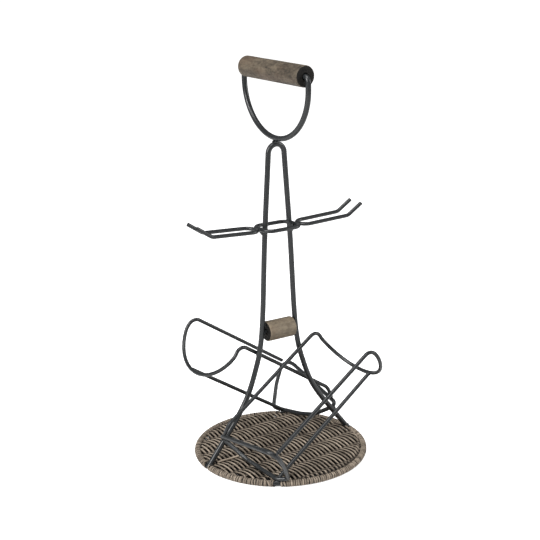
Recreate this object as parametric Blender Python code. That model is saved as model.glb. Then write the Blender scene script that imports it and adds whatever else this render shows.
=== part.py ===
"""Carrier of bent steel wire on a woven cane base, with two wooden dowel grips.

Metres, +Z up. The origin is at the middle of the base, on the table. X runs along the plane of the
hairpin post, Y along the handle grip. The holder repeats itself after half a turn about Z.
"""
import math

import bmesh
import bpy
from mathutils import Matrix, Vector

MM = 0.001

# Gaps
WELD_GAP = 0.3 * MM             # between pieces that are welded or tied together on the real holder
GRIP_PLAY = 0.6 * MM            # radial play of a wooden grip on its wire or pin

# Faces and steps
SECTION_SIDES = 8               # of the hoop and its binding, one of them flat on the table
RING_STEPS = 72                 # in a full turn of the hoop
WIRE_SIDES = 8
WEAVER_SIDES = 4
GRIP_SIDES = 40
BORE_SIDES = 20
LEG_STEPS = 4                   # between two given points of the hairpin's leg
TOP_BEND_STEPS = 12
BOW_STEPS = 24
SADDLE_STEPS = 16

# Base
BASE_RADIUS = 91.0 * MM         # over the cane binding
HOOP_WIRE = 4.6 * MM            # diameter
BINDING_THICKNESS = 0.75 * MM
BARE_HALF_LENGTH = 3.2 * MM     # half the bare stretch of hoop under a leg of the hairpin

# Woven mat
STAKE_DIAMETER = 2.4 * MM
STAKE_SPACING = 26.8 * MM
STAKE_SHIFT = -7.0 * MM         # from the middle of the base to the nearest stake
WEAVER_DIAMETER = 2.1 * MM
WEAVER_PITCH = 2.5 * MM
WEAVE_LIFT = 0.6 * MM           # the mat's middle plane, above the hoop's
WEAVE_TURN = math.radians(5.5)  # the mat lies a little askew under the post
MAT_EDGE = 3.4 * MM             # between the outermost pass of the weaver and the binding
TURN_ROOM = 7.5 * MM            # a pass crosses its last stake only with this much left to turn in

# Hairpin post
POST_WIRE = 5.5 * MM
POST_BEND = 9.3 * MM            # centreline radius of the top bend
POST_BEND_HEIGHT = 318.5 * MM   # centre of the top bend
# half width and height of one leg's centreline in mm, from above the foot to below the top bend
POST_LEG = [(65.3, 32.0), (50.6, 51.3), (39.3, 69.7), (30.3, 92.3),
            (23.1, 118.0), (19.1, 154.0), (15.3, 231.0)]

# Handle
HANDLE_WIRE = 5.5 * MM
BOW_DROP = 53.2 * MM            # depth of the half ellipse
BOW_RISE = 12.4 * MM            # straight stretch from the half ellipse up to the grip's axis
BOW_BEND = 6.0 * MM
BOW_INSERT = 12.0 * MM          # how far a wire end goes into the grip
BORE_PAST_WIRE = 2.0 * MM       # the bore goes this much deeper
GRIP_DIAMETER = 21.0 * MM
GRIP_LENGTH = 105.4 * MM
GRIP_END_GAP = 2.05 * MM        # from the grip's end face to the bow's wire beside it

# Lower grip
LOWER_GRIP_HEIGHT = 135.4 * MM
LOWER_GRIP_DIAMETER = 21.0 * MM
LOWER_GRIP_END_GAP = 1.2 * MM   # from the grip's end face to the leg beside it
PIN_DIAMETER = 5.0 * MM

# Ring and forks
GLASS_WIRE = 4.0 * MM
RING_HEIGHT = 244.0 * MM
RING_HALF_LENGTH = 20.5 * MM
RING_HALF_WIDTH = 14.1 * MM
RING_CORNER = 9.0 * MM
FORK_HALF_GAP = 9.85 * MM       # from the fork's middle to a prong's centreline
FORK_LENGTH = 54.0 * MM         # from the closed end to the upward bend
FORK_RISE = 2.6 * MM            # over that length
FORK_TIP_REACH = 16.2 * MM
FORK_TIP_RISE = 10.8 * MM
FORK_TIP_BEND = 8.0 * MM
FORK_END_EASE = 0.05 * MM       # a hair off the end bends, so that the two meet in a half circle
FORK_TURN = math.radians(-2.0)
GUSSET_THICKNESS = 3.0 * MM
GUSSET_DEPTH = 6.0 * MM

# Cradles
CRADLE_WIRE = 4.0 * MM
CRADLE_AZIMUTH = math.radians(4.8)   # turned away from the plane of the hairpin
CRADLE_SLOPE = math.radians(33.3)
CRADLE_CROSSING = 112.4 * MM    # height at which the inner rail is welded to the far leg
CRADLE_REACH = 120.1 * MM       # from the cradle's low end to that crossing, along the slope
INNER_RAIL_OUT = 42.3 * MM      # sideways from the cradle's axis
OUTER_RAIL_OUT = 48.0 * MM
INNER_RAIL_UP = 4.4 * MM        # square to the slope, above the cradle's axis
OUTER_RAIL_UP = 11.0 * MM
RAIL_START = 3.0 * MM           # lower end of the outer rail, along the slope from the cradle's low end
RAIL_DIP = 7.0 * MM             # where the inner rail turns down to the stop loop
RAIL_DIP_BEND = 10.0 * MM
RAIL_DIP_SHARE = 0.1            # of the loop's upper run, from its tip to where the rail meets it
RAIL_BEND = 9.0 * MM            # where a rail turns into the saddle
SADDLE_ALONG = 144.5 * MM
SADDLE_RADIUS = 48.8 * MM
SADDLE_MIDDLE = 2.85 * MM       # sideways from the cradle's axis
SADDLE_CENTRE_UP = 8.0 * MM
SADDLE_END_BEND = 12.0 * MM     # where the saddle's arc ends and the wire rises to the rail
SADDLE_END_RUN = 4.5 * MM       # from there up to the rail's bend

# Stop loops and saddle braces
STOP_WIRE = 4.5 * MM
STOP_ANCHOR_HEIGHT = 29.5 * MM  # where the loop's tip lies against the hairpin's leg
STOP_TIP_OUT = 2.0 * MM         # corner of the tip, further out than a touch
STOP_TIP_ROUND = 1.5 * MM       # and past the hairpin's plane
STOP_TIP_BEND = 4.0 * MM
STOP_SHOULDER_ALONG = -2.5 * MM
STOP_SHOULDER_OUT = 33.0 * MM
STOP_SHOULDER_UP = 12.5 * MM
STOP_SHOULDER_BEND = 20.0 * MM
STOP_CORNER_OUT = 49.2 * MM
STOP_CORNER_UP = 12.6 * MM
STOP_CORNER_BEND = 9.0 * MM
STOP_LEG_BOW = 2.5 * MM         # how far the middle of the loop's leg bows to the front
STOP_LEG_BOW_WAY = (0.83, -0.5, -0.2)
STOP_LEG_BEND = 80.0 * MM
STOP_TOE_ANGLE = math.radians(242.0)
STOP_TOE_OUT = 3.5 * MM         # the toe's reach past the hoop's centreline
STOP_TOE_BEND = 4.5 * MM
STOP_TOE_LIFT = 0.9 * MM        # over the binding, so that the slope down to the foot clears it too
STOP_FOOT_ANGLE = math.radians(235.0)
STOP_FOOT_BEND = 8.0 * MM
STOP_FOOT_BARE = math.radians(3.1)   # bare hoop from the foot towards the front of the hairpin
STOP_TOE_BARE = math.radians(4.9)    # and from the foot towards the toe
STRUT_SAG = 9.4 * MM
STRUT_SAG_WAY = (0.49, 0.0, -0.87)
STRUT_BENDS = [(0.35, 0.7, 60.0), (0.625, 1.0, 30.0)]  # share of the way, share of the sag, bend radius in mm
BRACE_WIRE = 4.0 * MM
BRACE_SIDE = 14.5 * MM          # sideways from the cradle's axis to where the brace meets the saddle

# Worked out from the sizes above
HOOP_RADIUS = HOOP_WIRE / 2
POST_RADIUS = POST_WIRE / 2
HANDLE_RADIUS = HANDLE_WIRE / 2
CRADLE_RADIUS = CRADLE_WIRE / 2
STOP_RADIUS = STOP_WIRE / 2
BINDING_RADIUS = HOOP_RADIUS + WELD_GAP + BINDING_THICKNESS
HOOP_CENTRE = BASE_RADIUS - BINDING_RADIUS
HOOP_HEIGHT = BINDING_RADIUS
BOW_HALF_WIDTH = GRIP_LENGTH / 2 + GRIP_END_GAP + HANDLE_RADIUS


def empty_scene():
    for obj in list(bpy.data.objects):
        bpy.data.objects.remove(obj, do_unlink=True)


def new_collection(name):
    collection = bpy.data.collections.new(name)
    bpy.context.scene.collection.children.link(collection)
    return collection


def make_material(name, colour, roughness, metallic):
    material = bpy.data.materials.new(name)
    material.use_nodes = True
    shader = material.node_tree.nodes["Principled BSDF"]
    shader.inputs["Base Color"].default_value = (*colour, 1.0)
    shader.inputs["Roughness"].default_value = roughness
    shader.inputs["Metallic"].default_value = metallic
    material.diffuse_color = (*colour, 1.0)
    return material


def steel(name):
    """Dark graphite-coated steel wire."""
    return make_material(name, (0.035, 0.037, 0.04), 0.42, 0.85)


def cane(name, colour=(0.2, 0.155, 0.115)):
    """Weathered grey-brown cane."""
    return make_material(name, colour, 0.72, 0.0)


def wood(name):
    """Grey-brown turned hardwood."""
    return make_material(name, (0.2, 0.135, 0.08), 0.62, 0.0)


def add_object(name, data, material):
    obj = bpy.data.objects.new(name, data)
    data.materials.append(material)
    PARTS.objects.link(obj)
    return obj


def add_mesh(name, bm, material):
    """Turns a bmesh into a finished part with its round faces shaded smooth."""
    bmesh.ops.recalc_face_normals(bm, faces=bm.faces)
    mesh = bpy.data.meshes.new(name)
    bm.to_mesh(mesh)
    bm.free()
    mesh.shade_smooth()
    mesh.set_sharp_from_angle(angle=math.radians(50))
    return add_object(name, mesh, material)


def half_turn(point):
    """The same place on the other side of the holder."""
    return Vector((-point.x, -point.y, point.z))


def on_rim(angle, height, out=0.0):
    radius = HOOP_CENTRE + out
    return Vector((radius * math.cos(angle), radius * math.sin(angle), height))


def round_corner(before, corner, after, radius, step=math.radians(15)):
    """Points of the arc that a bending tool leaves at a corner of a wire."""
    back = (before - corner).normalized()
    ahead = (after - corner).normalized()
    turn = math.pi - back.angle(ahead)
    if radius == 0 or turn < math.radians(1):
        return [corner]
    reach = radius * math.tan(turn / 2)
    middle = (back + ahead).normalized()
    centre = corner + middle * (radius / math.cos(turn / 2))
    start = (corner + back * reach - centre).normalized()
    end = (corner + ahead * reach - centre).normalized()
    count = max(2, math.ceil(turn / step))
    return [centre + radius * start.slerp(end, i / count) for i in range(count + 1)]


def bent_path(corners, closed=False):
    """Straight runs with rounded corners. Each corner is a point and its bend radius."""
    points = []
    count = len(corners)
    for i, (corner, radius) in enumerate(corners):
        if not closed and i in (0, count - 1):
            points.append(corner)
            continue
        before = corners[i - 1][0]
        after = corners[(i + 1) % count][0]
        points += round_corner(before, corner, after, radius)
    return points


def smooth_path(knots, steps):
    """A curve through the knots (Catmull-Rom), read at even steps between each two of them."""
    points = []
    padded = [2 * knots[0] - knots[1]] + knots + [2 * knots[-1] - knots[-2]]
    for a, b, c, d in zip(padded, padded[1:], padded[2:], padded[3:]):
        for i in range(steps):
            u = i / steps
            points.append(0.5 * (2 * b + (c - a) * u + (2 * a - 5 * b + 4 * c - d) * u ** 2
                                 + (3 * b - a - 3 * c + d) * u ** 3))
    return points + [knots[-1]]


def wire(name, points, diameter, material, closed=False, sides=WIRE_SIDES):
    """A wire along the points, its ends closed by flat caps."""
    curve = bpy.data.curves.new(name, "CURVE")
    curve.dimensions = "3D"
    spline = curve.splines.new("POLY")
    spline.points.add(len(points) - 1)
    for target, point in zip(spline.points, points):
        target.co = (*point, 1.0)
    spline.use_cyclic_u = closed
    spline.use_smooth = True
    curve.bevel_depth = diameter / 2
    curve.bevel_resolution = (sides - 4) // 2
    curve.use_fill_caps = True
    return add_object(name, curve, material)


def trimmed(start, end, from_start, from_end):
    """A straight run between two centrelines, cut short at both ends."""
    along = (end - start).normalized()
    return [start + along * from_start, end - along * from_end]


def section_ring(inner, outer):
    """An octagonal section of the rim, flat at the bottom: its outer corners, and inner ones for a tube."""
    loops = []
    for flat_radius in (outer, inner):
        if flat_radius:
            corner = flat_radius / math.cos(math.pi / SECTION_SIDES)
            angles = [2 * math.pi * (i + 0.5) / SECTION_SIDES for i in range(SECTION_SIDES)]
            loops.append([(HOOP_CENTRE + corner * math.cos(a), HOOP_HEIGHT + corner * math.sin(a))
                          for a in angles])
    return loops


def spun(bm, start, sweep):
    """Spins everything in the bmesh about Z. A full turn closes on itself."""
    full = abs(sweep - 2 * math.pi) < 1e-6
    bmesh.ops.rotate(bm, verts=bm.verts, cent=(0, 0, 0), matrix=Matrix.Rotation(start, 3, "Z"))
    steps = max(2, round(RING_STEPS * sweep / (2 * math.pi)))
    geometry = bm.verts[:] + bm.edges[:] + bm.faces[:]
    bmesh.ops.spin(bm, geom=geometry, cent=(0, 0, 0), axis=(0, 0, 1), angle=sweep, steps=steps,
                   use_merge=full, use_duplicate=False)
    if full:
        bmesh.ops.remove_doubles(bm, verts=bm.verts, dist=0.01 * MM)


def base_hoop():
    """Closed ring of steel wire that everything stands on."""
    bm = bmesh.new()
    outer, = section_ring(0, HOOP_RADIUS)
    verts = [bm.verts.new((x, 0, z)) for x, z in outer]
    for a, b in zip(verts, verts[1:] + verts[:1]):
        bm.edges.new((a, b))
    spun(bm, 0.0, 2 * math.pi)
    add_mesh("base_hoop", bm, steel("base_hoop"))


def rim_bindings():
    """Cane wound round the hoop in four stretches, each a tube between two bare feet."""
    post_bare = BARE_HALF_LENGTH / HOOP_CENTRE
    stop_from = STOP_FOOT_ANGLE - STOP_FOOT_BARE
    stop_to = STOP_FOOT_ANGLE + STOP_TOE_BARE
    stretches = {
        "rim_binding_front_left": (math.pi + post_bare, stop_from),
        "rim_binding_front_right": (stop_to, 2 * math.pi - post_bare),
        "rim_binding_back_right": (post_bare, stop_from - math.pi),
        "rim_binding_back_left": (stop_to - math.pi, math.pi - post_bare),
    }
    for name, (start, end) in stretches.items():
        bm = bmesh.new()
        outer, inner = section_ring(HOOP_RADIUS + WELD_GAP, BINDING_RADIUS)
        loops = [[bm.verts.new((x, 0, z)) for x, z in loop] for loop in (outer, inner)]
        for i in range(SECTION_SIDES):
            j = (i + 1) % SECTION_SIDES
            bm.faces.new((loops[0][i], loops[0][j], loops[1][j], loops[1][i]))
        spun(bm, start, end - start)
        add_mesh(name, bm, cane(name))


def mat_limit():
    """Radius that the woven mat fills, inside the binding and under the hairpin's leaning feet."""
    rise = leg_rise()
    under_foot = post_leg()[0] - POST_RADIUS * Vector((rise.z, 0, -rise.x))
    stake_top = HOOP_HEIGHT + WEAVE_LIFT + STAKE_DIAMETER / 2
    foot_reach = under_foot.x + (stake_top - under_foot.z) * rise.x / rise.z
    return min(HOOP_CENTRE - BINDING_RADIUS, foot_reach) - WELD_GAP


def half_chord(offset, half_width):
    """Half the length that fits inside the mat's circle for a strand lying off its middle."""
    return math.sqrt(mat_limit() ** 2 - (abs(offset) + half_width) ** 2) - WELD_GAP


def stake_rows():
    """Places of the stakes across the weave."""
    reach = mat_limit() - 2 * STAKE_DIAMETER
    first = math.ceil((-reach - STAKE_SHIFT) / STAKE_SPACING)
    last = math.floor((reach - STAKE_SHIFT) / STAKE_SPACING)
    return [STAKE_SHIFT + k * STAKE_SPACING for k in range(first, last + 1)]


def in_weave(along, across, height):
    """A point of the weave: along the stakes, across them, and up from the mat's middle plane."""
    flat = Matrix.Rotation(WEAVE_TURN, 3, "Z") @ Vector((along, across, 0))
    return Vector((flat.x, flat.y, HOOP_HEIGHT + WEAVE_LIFT + height))


def mat_stakes():
    for number, row in enumerate(stake_rows(), 1):
        half = half_chord(row, STAKE_DIAMETER / 2)
        name = f"mat_stake_{number}"
        wire(name, [in_weave(-half, row, 0), in_weave(half, row, 0)], STAKE_DIAMETER, cane(name))


def weaver_reach(along, side):
    """How far a pass of the weaver goes to one side: to the binding, or to a stake too near it to cross."""
    half = half_chord(along, WEAVER_DIAMETER / 2) - WEAVER_DIAMETER / 2
    clear = (STAKE_DIAMETER + WEAVER_DIAMETER) / 2 + WELD_GAP
    for row in stake_rows():
        if half - TURN_ROOM < side * row < half + clear:
            half = side * row - clear
    return half


def mat_weaver():
    """One long strand that goes over and under the stakes, turns at the edge and comes back beside itself."""
    rows = stake_rows()
    lift = (STAKE_DIAMETER + WEAVER_DIAMETER) / 2 + WELD_GAP
    passes = 2 * math.floor((mat_limit() - MAT_EDGE) / WEAVER_PITCH)
    places = [(k - (passes - 1) / 2) * WEAVER_PITCH for k in range(passes)]
    points = []
    side = 1
    start = weaver_reach(places[0], -side)
    for k, along in enumerate(places):
        neighbour = places[min(k + 1, passes - 1)]
        end = min(weaver_reach(along, side), weaver_reach(neighbour, side))
        crossed = [(row, (-1) ** (i + k) * lift) for i, row in enumerate(rows) if -start < side * row < end]
        points.append(in_weave(along, -side * start, 0))
        points += [in_weave(along, row, height) for row, height in crossed[::side]]
        points.append(in_weave(along, side * end, 0))
        start = end
        side = -side
    wire("mat_weaver", points, WEAVER_DIAMETER, cane("mat_weaver"), sides=WEAVER_SIDES)


def leg_rise():
    """Unit vector up the right leg from the hoop."""
    x, z = POST_LEG[0]
    return Vector((x * MM - HOOP_CENTRE, 0, z * MM - HOOP_HEIGHT)).normalized()


def post_leg():
    """Centreline of the hairpin's right leg, from the hoop up to the top bend."""
    shoulder = Vector((POST_BEND, 0, POST_BEND_HEIGHT))
    knots = [Vector((x * MM, 0, z * MM)) for x, z in POST_LEG]
    hoop = Vector((HOOP_CENTRE, 0, HOOP_HEIGHT))
    foot = hoop + leg_rise() * (HOOP_RADIUS / math.cos(math.pi / SECTION_SIDES) + WELD_GAP)
    return smooth_path([foot, *knots, shoulder], LEG_STEPS)


def leg_half_width(height):
    """Half width of the hairpin at a height, read from the same centreline."""
    path = post_leg()
    for low, high in zip(path, path[1:]):
        if low.z <= height <= high.z:
            share = (height - low.z) / (high.z - low.z)
            return low.x + share * (high.x - low.x)
    return POST_BEND


def leg_direction(height):
    """Unit vector up the right leg at a height."""
    step = 2 * MM
    low, high = height - step, height + step
    rise = Vector((leg_half_width(high) - leg_half_width(low), 0, high - low))
    return rise.normalized()


def hairpin_post():
    right = post_leg()
    centre = Vector((0, 0, POST_BEND_HEIGHT))
    top = [centre + POST_BEND * Vector((math.cos(a), 0, math.sin(a)))
           for a in [math.pi * i / TOP_BEND_STEPS for i in range(1, TOP_BEND_STEPS)]]
    left = [Vector((-p.x, 0, p.z)) for p in reversed(right)]
    wire("hairpin_post", right + top + left, POST_WIRE, steel("hairpin_post"))


def bow_bottom():
    """Height of the bow's lowest centreline point, resting on the hairpin's top bend."""
    return POST_BEND_HEIGHT + POST_BEND + POST_RADIUS + WELD_GAP + HANDLE_RADIUS


def grip_height():
    return bow_bottom() + BOW_DROP + BOW_RISE


def handle_bow():
    """D-shaped wire. Its ends turn inwards, into the ends of the grip."""
    top = grip_height()
    inside = GRIP_LENGTH / 2 - BOW_INSERT
    centre = bow_bottom() + BOW_DROP
    bends = [(Vector((0, inside, top)), 0), (Vector((0, BOW_HALF_WIDTH, top)), BOW_BEND),
             (Vector((0, BOW_HALF_WIDTH, centre)), 0)]
    right = bent_path(bends)
    angles = [math.pi * i / BOW_STEPS for i in range(1, BOW_STEPS)]
    under = [Vector((0, BOW_HALF_WIDTH * math.cos(a), centre - BOW_DROP * math.sin(a))) for a in angles]
    left = [Vector((0, -p.y, p.z)) for p in reversed(right)]
    wire("handle_bow", right + under + left, HANDLE_WIRE, steel("handle_bow"))


def turned_cylinder(name, radius, length, axis, centre, sides):
    """A cylinder about its own Z, turned to lie along X or Y with its origin on its axis."""
    bm = bmesh.new()
    bmesh.ops.create_cone(bm, cap_ends=True, segments=sides, radius1=radius, radius2=radius, depth=length)
    mesh = bpy.data.meshes.new(name)
    bm.to_mesh(mesh)
    bm.free()
    obj = bpy.data.objects.new(name, mesh)
    obj.location = centre
    quarter = math.pi / 2
    obj.rotation_euler = (0, quarter, 0) if axis == "X" else (quarter, 0, 0)
    return obj


def cut(obj, cutter):
    """Takes the cutter's shape out of the part."""
    CUTTERS.objects.link(cutter)
    cutter.hide_render = True
    cutter.display_type = "WIRE"
    modifier = obj.modifiers.new(cutter.name, "BOOLEAN")
    modifier.operation = "DIFFERENCE"
    modifier.solver = "EXACT"
    modifier.object = cutter


def top_grip():
    """Wooden dowel with a blind bore in each end for the bow's wire."""
    centre = Vector((0, 0, grip_height()))
    grip = turned_cylinder("top_grip", GRIP_DIAMETER / 2, GRIP_LENGTH, "Y", centre, GRIP_SIDES)
    grip.data.materials.append(wood("top_grip"))
    PARTS.objects.link(grip)
    bore_depth = BOW_INSERT + BORE_PAST_WIRE
    bore_radius = HANDLE_RADIUS + GRIP_PLAY
    for side in (-1, 1):
        middle = centre + Vector((0, side * GRIP_LENGTH / 2, 0))
        cut(grip, turned_cylinder(f"grip_bore_{side}", bore_radius, 2 * bore_depth, "Y", middle, BORE_SIDES))


def lower_grip():
    """Short wooden dowel that turns on the pin between the hairpin's legs."""
    centre = Vector((0, 0, LOWER_GRIP_HEIGHT))
    top = LOWER_GRIP_HEIGHT + LOWER_GRIP_DIAMETER / 2
    length = 2 * (leg_half_width(top) - POST_RADIUS - LOWER_GRIP_END_GAP)
    grip = turned_cylinder("lower_grip", LOWER_GRIP_DIAMETER / 2, length, "X", centre, GRIP_SIDES)
    grip.data.materials.append(wood("lower_grip"))
    PARTS.objects.link(grip)
    bore_radius = PIN_DIAMETER / 2 + GRIP_PLAY
    cut(grip, turned_cylinder("pin_bore", bore_radius, 2 * length, "X", centre, BORE_SIDES))


def lower_grip_pin():
    """Steel rod across the hairpin, welded to the inner side of both legs."""
    top = LOWER_GRIP_HEIGHT + PIN_DIAMETER / 2
    half = leg_half_width(top) - POST_RADIUS - WELD_GAP
    ends = [Vector((side * half, 0, LOWER_GRIP_HEIGHT)) for side in (-1, 1)]
    wire("lower_grip_pin", ends, PIN_DIAMETER, steel("lower_grip_pin"))


def glass_ring():
    """Oval of wire round both legs of the hairpin, which carries the forks."""
    corners = [(Vector((x * RING_HALF_LENGTH, y * RING_HALF_WIDTH, RING_HEIGHT)), RING_CORNER)
               for x, y in ((1, -1), (1, 1), (-1, 1), (-1, -1))]
    wire("glass_ring", bent_path(corners, closed=True), GLASS_WIRE, steel("glass_ring"), closed=True)


def glass_forks():
    """Two U-shaped prongs that rise a little outwards, their tips turned up."""
    near = RING_HALF_LENGTH + GLASS_WIRE + WELD_GAP
    bend = near + FORK_LENGTH
    tip = bend + FORK_TIP_REACH
    high = RING_HEIGHT + FORK_RISE
    prong = [(Vector((tip, FORK_HALF_GAP, high + FORK_TIP_RISE)), 0),
             (Vector((bend, FORK_HALF_GAP, high)), FORK_TIP_BEND)]
    close = [(Vector((near, y, RING_HEIGHT)), FORK_HALF_GAP - FORK_END_EASE)
             for y in (FORK_HALF_GAP, -FORK_HALF_GAP)]
    other = [(Vector((p.x, -p.y, p.z)), r) for p, r in reversed(prong)]
    right = bent_path(prong + close + other)
    turn = Matrix.Rotation(FORK_TURN, 3, "Z")
    right = [turn @ p for p in right]
    wire("glass_fork_right", right, GLASS_WIRE, steel("glass_fork_right"))
    wire("glass_fork_left", [half_turn(p) for p in right], GLASS_WIRE, steel("glass_fork_left"))


def ring_gussets():
    """Triangular weld plate under each end of the ring, against the leg."""
    under_ring = RING_HEIGHT - GLASS_WIRE / 2 - WELD_GAP
    low = under_ring - GUSSET_DEPTH
    for name, side in (("ring_gusset_right", 1), ("ring_gusset_left", -1)):
        outline = [(leg_half_width(low) + POST_RADIUS + WELD_GAP, low),
                   (RING_HALF_LENGTH + GLASS_WIRE / 4, under_ring),
                   (leg_half_width(under_ring) + POST_RADIUS + WELD_GAP, under_ring)]
        bm = bmesh.new()
        y = GUSSET_THICKNESS / 2
        face = bm.faces.new([bm.verts.new((side * x, -y, z)) for x, z in outline])
        moved = bmesh.ops.extrude_face_region(bm, geom=[face])["geom"]
        verts = [v for v in moved if isinstance(v, bmesh.types.BMVert)]
        bmesh.ops.translate(bm, verts=verts, vec=(0, 2 * y, 0))
        add_mesh(name, bm, steel(name))


def cradle_axes():
    """Along the cradle up the slope, sideways away from the post, and square to both."""
    level = Vector((math.cos(CRADLE_AZIMUTH), math.sin(CRADLE_AZIMUTH), 0))
    along = level * math.cos(CRADLE_SLOPE) + Vector((0, 0, math.sin(CRADLE_SLOPE)))
    out = Vector((math.sin(CRADLE_AZIMUTH), -math.cos(CRADLE_AZIMUTH), 0))
    return along, out, out.cross(along)


def in_cradle(along, out, up):
    """A point given along, beside and above the axis of the front cradle."""
    a, s, u = cradle_axes()
    beside = -(POST_RADIUS + CRADLE_RADIUS + WELD_GAP)
    crossing = Vector((leg_half_width(CRADLE_CROSSING), beside, CRADLE_CROSSING))
    start = crossing - a * CRADLE_REACH + s * INNER_RAIL_OUT - u * INNER_RAIL_UP
    return start + a * along + s * out + u * up


def saddle_end(rail_up):
    """How far round the saddle's arc goes before the wire rises to the rail."""
    low = rail_up - RAIL_BEND - SADDLE_END_RUN
    return math.acos((SADDLE_CENTRE_UP - low) / SADDLE_RADIUS)


def cradle_path():
    """Outer rail up the slope, round the saddle, and down the inner rail."""
    outer = in_cradle(RAIL_START, OUTER_RAIL_OUT, OUTER_RAIL_UP)
    outer_corner = in_cradle(SADDLE_ALONG, OUTER_RAIL_OUT, OUTER_RAIL_UP)
    inner_corner = in_cradle(SADDLE_ALONG, -INNER_RAIL_OUT, INNER_RAIL_UP)
    first = saddle_end(OUTER_RAIL_UP)
    last = -saddle_end(INNER_RAIL_UP)
    corners = [(outer, 0), (outer_corner, RAIL_BEND)]
    for i in range(SADDLE_STEPS + 1):
        angle = first + (last - first) * i / SADDLE_STEPS
        bend = SADDLE_END_BEND if i in (0, SADDLE_STEPS) else 0
        corners.append((saddle_point(angle), bend))
    dip = in_cradle(RAIL_DIP, -INNER_RAIL_OUT, INNER_RAIL_UP)
    tip, shoulder = stop_tip(), stop_shoulder()
    touch = tip.lerp(shoulder, RAIL_DIP_SHARE)
    slant = abs((dip - touch).normalized().dot((shoulder - tip).normalized()))
    clear = (STOP_RADIUS + WELD_GAP + CRADLE_RADIUS * slant) / math.sqrt(1 - slant ** 2)
    end = trimmed(touch, dip, clear, 0)[0]
    corners += [(inner_corner, RAIL_BEND), (dip, RAIL_DIP_BEND), (end, 0)]
    return bent_path(corners)


def saddle_point(angle):
    out = SADDLE_MIDDLE + SADDLE_RADIUS * math.sin(angle)
    return in_cradle(SADDLE_ALONG, out, SADDLE_CENTRE_UP - SADDLE_RADIUS * math.cos(angle))


def stop_foot():
    """Centreline of the stop loop where it lies on the bare hoop."""
    return on_rim(STOP_FOOT_ANGLE, HOOP_HEIGHT + HOOP_RADIUS + WELD_GAP + STOP_RADIUS)


def stop_tip():
    """Corner of the loop's tip, outside the hairpin's left leg."""
    leg = Vector((-leg_half_width(STOP_ANCHOR_HEIGHT), 0, STOP_ANCHOR_HEIGHT))
    rise = leg_direction(STOP_ANCHOR_HEIGHT)
    away = Vector((-rise.z, 0, -rise.x))
    clear = POST_RADIUS + STOP_RADIUS + WELD_GAP
    return leg + away * (clear + STOP_TIP_OUT) + Vector((0, STOP_TIP_ROUND, 0))


def stop_shoulder():
    return in_cradle(STOP_SHOULDER_ALONG, STOP_SHOULDER_OUT, STOP_SHOULDER_UP)


def stop_path():
    """Closed loop: across the cradle's low end, down to the rim, and back to the hairpin's leg."""
    tip = stop_tip()
    corner = in_cradle(0, STOP_CORNER_OUT, STOP_CORNER_UP)
    toe = on_rim(STOP_TOE_ANGLE, HOOP_HEIGHT + BINDING_RADIUS + STOP_TOE_LIFT + STOP_RADIUS, STOP_TOE_OUT)
    middle = (corner + toe) / 2 + STOP_LEG_BOW * Vector(STOP_LEG_BOW_WAY).normalized()
    foot = stop_foot()
    corners = [(tip, STOP_TIP_BEND), (stop_shoulder(), STOP_SHOULDER_BEND), (corner, STOP_CORNER_BEND),
               (middle, STOP_LEG_BEND), (toe, STOP_TOE_BEND), (foot, STOP_FOOT_BEND)]
    sag = STRUT_SAG * Vector(STRUT_SAG_WAY).normalized()
    for share, depth, bend in STRUT_BENDS:
        corners.append((foot.lerp(tip, share) + depth * sag, bend * MM))
    return bent_path(corners, closed=True)


def brace_path():
    """Straight wire from the foot of the stop loop up to the saddle."""
    angle = math.asin((BRACE_SIDE - SADDLE_MIDDLE) / SADDLE_RADIUS)
    radius = BRACE_WIRE / 2
    at_foot = stop_foot() + Vector((0, 0, radius - STOP_RADIUS))
    return trimmed(at_foot, saddle_point(angle), STOP_RADIUS + radius, CRADLE_RADIUS + WELD_GAP)


def cradles():
    """Frame, stop loop and saddle brace of each cradle; the back set is the front one turned."""
    for end, turn in (("front", lambda p: p), ("back", half_turn)):
        pieces = (("cradle_frame", cradle_path(), CRADLE_WIRE, False),
                  ("stop_loop", stop_path(), STOP_WIRE, True),
                  ("saddle_brace", brace_path(), BRACE_WIRE, False))
        for kind, path, diameter, closed in pieces:
            name = f"{kind}_{end}"
            wire(name, [turn(p) for p in path], diameter, steel(name), closed=closed)


empty_scene()
PARTS = new_collection("wire_carrier")
CUTTERS = new_collection("cutters")

base_hoop()
rim_bindings()
mat_stakes()
mat_weaver()
hairpin_post()
handle_bow()
top_grip()
lower_grip()
lower_grip_pin()
glass_ring()
glass_forks()
ring_gussets()
cradles()
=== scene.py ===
import math

import bmesh
import bpy
from mathutils import Matrix, Vector, noise


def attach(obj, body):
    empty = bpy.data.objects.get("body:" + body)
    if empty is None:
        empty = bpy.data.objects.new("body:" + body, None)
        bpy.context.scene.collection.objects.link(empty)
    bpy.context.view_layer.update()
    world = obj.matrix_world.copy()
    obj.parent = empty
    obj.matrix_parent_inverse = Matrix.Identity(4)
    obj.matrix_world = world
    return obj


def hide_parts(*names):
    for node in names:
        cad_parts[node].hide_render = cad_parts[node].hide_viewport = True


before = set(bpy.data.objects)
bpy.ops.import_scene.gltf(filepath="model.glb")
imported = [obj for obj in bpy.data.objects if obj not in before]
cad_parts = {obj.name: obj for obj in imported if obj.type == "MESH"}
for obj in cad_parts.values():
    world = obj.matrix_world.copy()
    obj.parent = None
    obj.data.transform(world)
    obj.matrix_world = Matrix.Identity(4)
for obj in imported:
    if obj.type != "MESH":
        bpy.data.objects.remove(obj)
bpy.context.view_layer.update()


# ---------------------------------------------------------------- base hoop
# The whole carrier stands on a closed ring of 4.6 mm steel wire, butt-welded and powder-coated in dark
# graphite. It shows only where the cane binding stops, at the four feet.
MM = 0.001
HOOP_WIRE = 4.6 * MM
HOOP_CENTRE = 87.65 * MM
HOOP_HEIGHT = 3.35 * MM
HOOP_STEPS = 144
WIRE_SIDES = 24
GRAPHITE = (0.0175, 0.0195, 0.0210, 1.0)
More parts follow.
